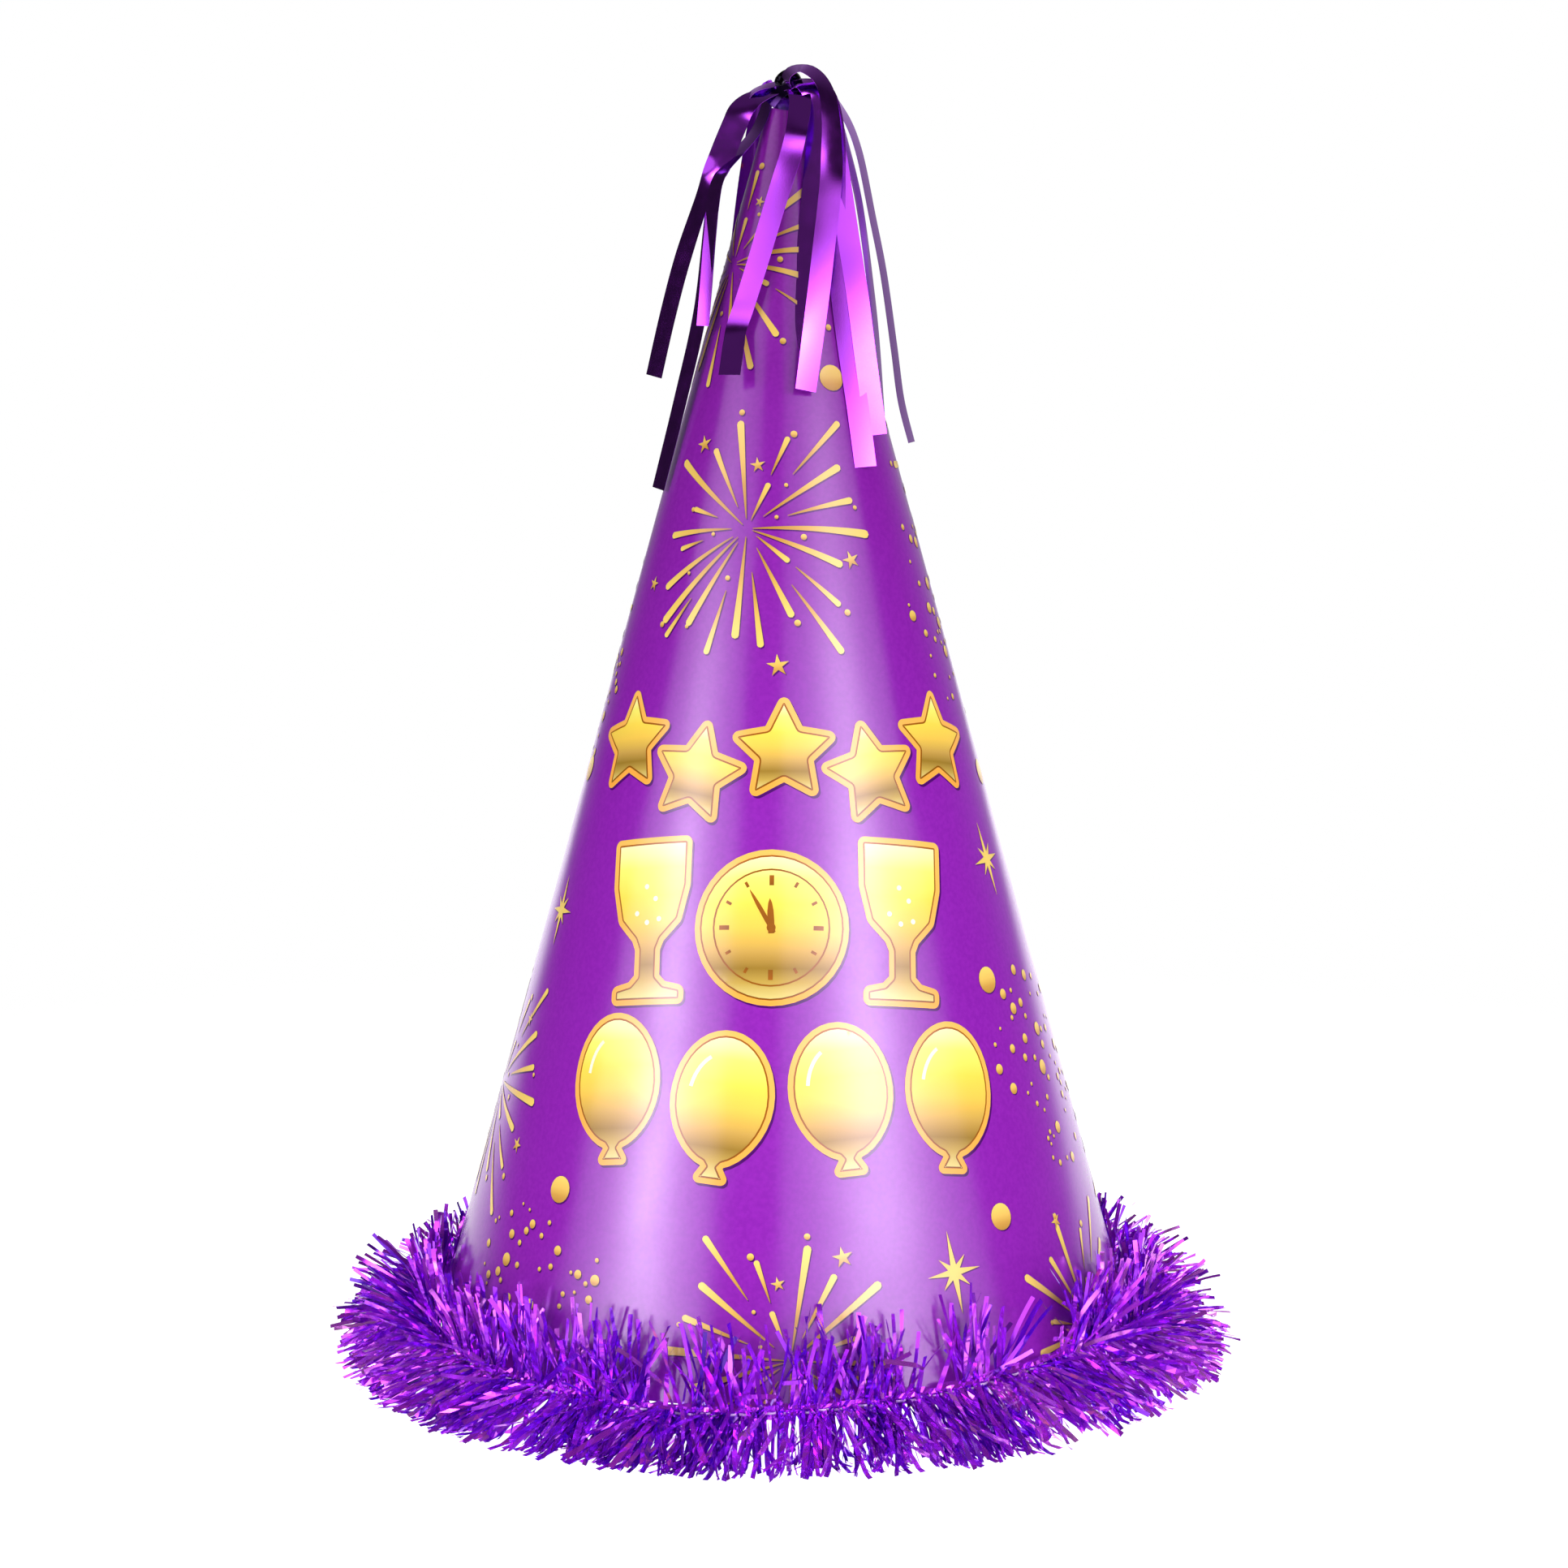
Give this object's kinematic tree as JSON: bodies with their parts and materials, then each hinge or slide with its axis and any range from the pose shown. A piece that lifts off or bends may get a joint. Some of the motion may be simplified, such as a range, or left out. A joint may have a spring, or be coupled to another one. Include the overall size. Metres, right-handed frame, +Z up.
{
  "type": "party hat",
  "caption": "Tall glossy card party cone with gold party print, a tinsel garland round its rim and a tuft of hinged film streamers at its tip.",
  "frame": {"origin": "on the surface that the hat stands on, under the cone's axis", "axes": "+Z up along the cone's axis; the printed front faces -Y and the card's seam is at the back, +Y"},
  "size_m": [0.225, 0.225, 0.327],
  "materials": {
    "printed_card": "gloss",
    "adhesive": "satin",
    "hot_melt_glue": "satin",
    "purple_film": "polished",
    "tinsel": "polished",
    "thread": "matte"
  },
  "bodies": {
    "hat": {"cone_shell": "printed_card", "seam_adhesive": "adhesive", "garland_band": "tinsel", "garland_thread": "thread", "fringe_upright_1": "tinsel", "fringe_flared_1": "tinsel", "fringe_lower_1": "tinsel", "fringe_upright_2": "tinsel", "fringe_flared_2": "tinsel", "fringe_lower_2": "tinsel", "fringe_upright_3": "tinsel", "fringe_flared_3": "tinsel", "fringe_lower_3": "tinsel", "fringe_upright_4": "tinsel", "fringe_flared_4": "tinsel", "fringe_lower_4": "tinsel", "fringe_upright_5": "tinsel", "fringe_flared_5": "tinsel", "fringe_lower_5": "tinsel", "fringe_upright_6": "tinsel", "fringe_flared_6": "tinsel", "fringe_lower_6": "tinsel", "fringe_upright_7": "tinsel", "fringe_flared_7": "tinsel", "fringe_lower_7": "tinsel", "fringe_upright_8": "tinsel", "fringe_flared_8": "tinsel", "fringe_lower_8": "tinsel", "fringe_upright_9": "tinsel", "fringe_flared_9": "tinsel", "fringe_lower_9": "tinsel", "fringe_upright_10": "tinsel", "fringe_flared_10": "tinsel", "fringe_lower_10": "tinsel", "fringe_upright_11": "tinsel", "fringe_flared_11": "tinsel", "fringe_lower_11": "tinsel", "fringe_upright_12": "tinsel", "fringe_flared_12": "tinsel", "fringe_lower_12": "tinsel", "tuft_stem": "purple_film", "tuft_knot": "purple_film", "tuft_tie": "thread", "tip_glue_plug": "hot_melt_glue"},
    "streamer_back_left_body": {"streamer_back_left": "purple_film"},
    "streamer_left_edge_body": {"streamer_left_edge": "purple_film"},
    "streamer_left_arch_body": {"streamer_left_arch": "purple_film"},
    "streamer_left_inner_body": {"streamer_left_inner": "purple_film"},
    "streamer_front_left_body": {"streamer_front_left": "purple_film"},
    "streamer_front_under_body": {"streamer_front_under": "purple_film"},
    "streamer_front_loop_body": {"streamer_front_loop": "purple_film"},
    "streamer_front_right_body": {"streamer_front_right": "purple_film"},
    "streamer_right_inner_body": {"streamer_right_inner": "purple_film"},
    "streamer_right_edge_body": {"streamer_right_edge": "purple_film"},
    "streamer_right_arch_body": {"streamer_right_arch": "purple_film"},
    "streamer_back_right_body": {"streamer_back_right": "purple_film"},
    "streamer_back_body": {"streamer_back": "purple_film"}
  },
  "joints": [
    {"name": "lift_back_left", "type": "hinge", "parent": "hat", "child": "streamer_back_left_body", "pos_m": [-0.00139, 0.00299, 0.3216], "axis": [0.9063, 0.4226, 0], "range_deg": [0, 50]},
    {"name": "lift_left_edge", "type": "hinge", "parent": "hat", "child": "streamer_left_edge_body", "pos_m": [-0.00263, 0.002, 0.3216], "axis": [0.6061, 0.7954, 0], "range_deg": [0, 50]},
    {"name": "lift_left_arch", "type": "hinge", "parent": "hat", "child": "streamer_left_arch_body", "pos_m": [-0.00325, 0.00055, 0.3216], "axis": [0.167, 0.986, 0], "range_deg": [0, 50]},
    {"name": "lift_left_inner", "type": "hinge", "parent": "hat", "child": "streamer_left_inner_body", "pos_m": [-0.00314, -0.00102, 0.3216], "axis": [-0.3103, 0.9506, 0], "range_deg": [0, 50]},
    {"name": "lift_front_left", "type": "hinge", "parent": "hat", "child": "streamer_front_left_body", "pos_m": [-0.0023, -0.00236, 0.3216], "axis": [-0.7165, 0.6976, 0], "range_deg": [0, 50]},
    {"name": "lift_front_under", "type": "hinge", "parent": "hat", "child": "streamer_front_under_body", "pos_m": [-0.00094, -0.00316, 0.3216], "axis": [-0.9586, 0.2847, 0], "range_deg": [0, 50]},
    {"name": "lift_front_loop", "type": "hinge", "parent": "hat", "child": "streamer_front_loop_body", "pos_m": [0.00064, -0.00324, 0.3216], "axis": [-0.9811, -0.1934, 0], "range_deg": [0, 40]},
    {"name": "lift_front_right", "type": "hinge", "parent": "hat", "child": "streamer_front_right_body", "pos_m": [0.00207, -0.00257, 0.3216], "axis": [-0.7788, -0.6272, 0], "range_deg": [0, 50]},
    {"name": "lift_right_inner", "type": "hinge", "parent": "hat", "child": "streamer_right_inner_body", "pos_m": [0.00303, -0.00131, 0.3216], "axis": [-0.3981, -0.9173, 0], "range_deg": [0, 50]},
    {"name": "lift_right_edge", "type": "hinge", "parent": "hat", "child": "streamer_right_edge_body", "pos_m": [0.00329, 0.00024, 0.3216], "axis": [0.0738, -0.9973, 0], "range_deg": [0, 50]},
    {"name": "lift_right_arch", "type": "hinge", "parent": "hat", "child": "streamer_right_arch_body", "pos_m": [0.0028, 0.00175, 0.3216], "axis": [0.5288, -0.8488, 0], "range_deg": [0, 50]},
    {"name": "lift_back_right", "type": "hinge", "parent": "hat", "child": "streamer_back_right_body", "pos_m": [0.00167, 0.00285, 0.3216], "axis": [0.8626, -0.5058, 0], "range_deg": [0, 50]},
    {"name": "lift_back", "type": "hinge", "parent": "hat", "child": "streamer_back_body", "pos_m": [0.00015, 0.0033, 0.3216], "axis": [0.9989, -0.047, 0], "range_deg": [0, 50]}
  ]
}
